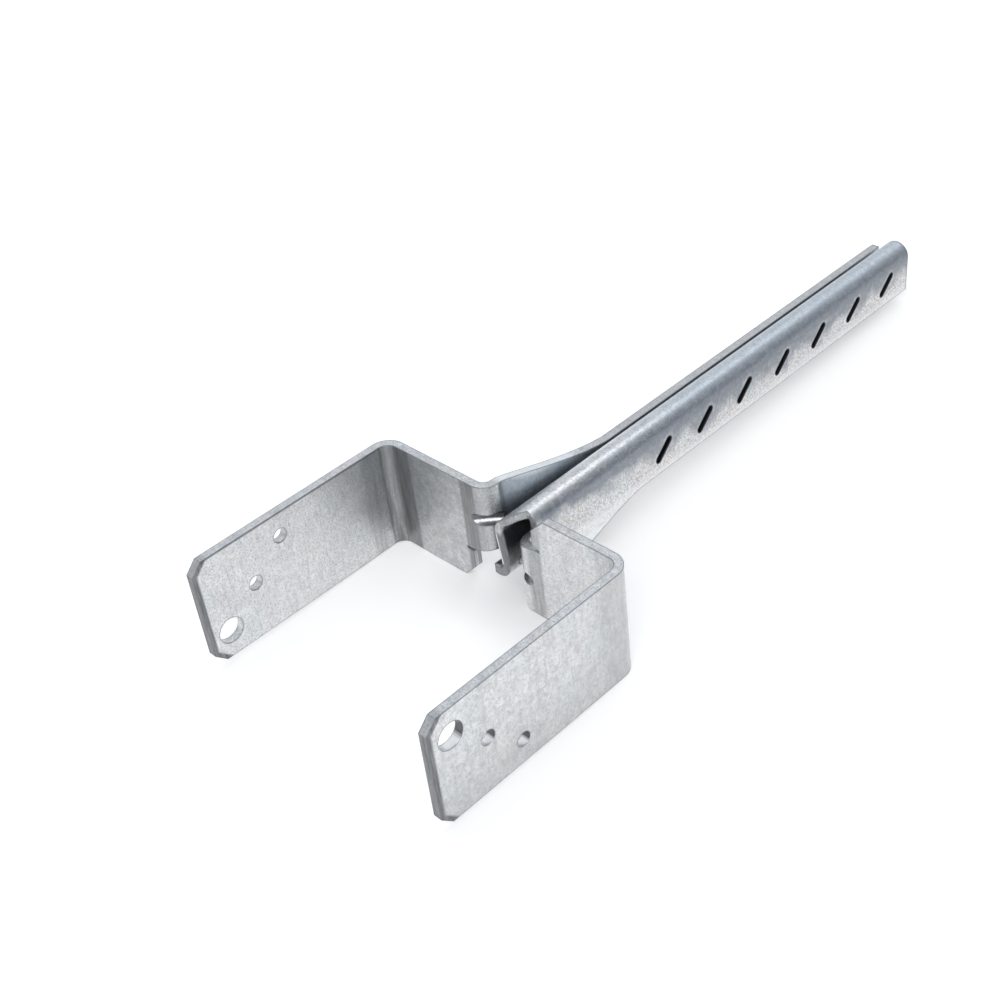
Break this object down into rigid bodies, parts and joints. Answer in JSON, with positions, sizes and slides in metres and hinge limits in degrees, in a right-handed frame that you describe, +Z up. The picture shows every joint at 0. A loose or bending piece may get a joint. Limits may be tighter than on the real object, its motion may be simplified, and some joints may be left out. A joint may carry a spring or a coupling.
{
  "type": "post base",
  "caption": "Folded sheet-steel post base with a U-shaped yoke for a timber post and a slotted stem to set in concrete.",
  "frame": {"origin": "centre of the seat, the yoke's face that the foot of the post stands against, where the stem's axis meets it", "axes": "+X across the yoke from leg to leg, +Y along the stem to its free end (the legs point to -Y), +Z up with the part lying on its side, along the width of the legs"},
  "size_m": [0.106, 0.296, 0.04],
  "materials": {
    "zinc_sheet": "hot-dip galvanised, matt, faint spangle"
  },
  "bodies": {
    "root": {"post_base": "zinc_sheet"}
  },
  "joints": []
}
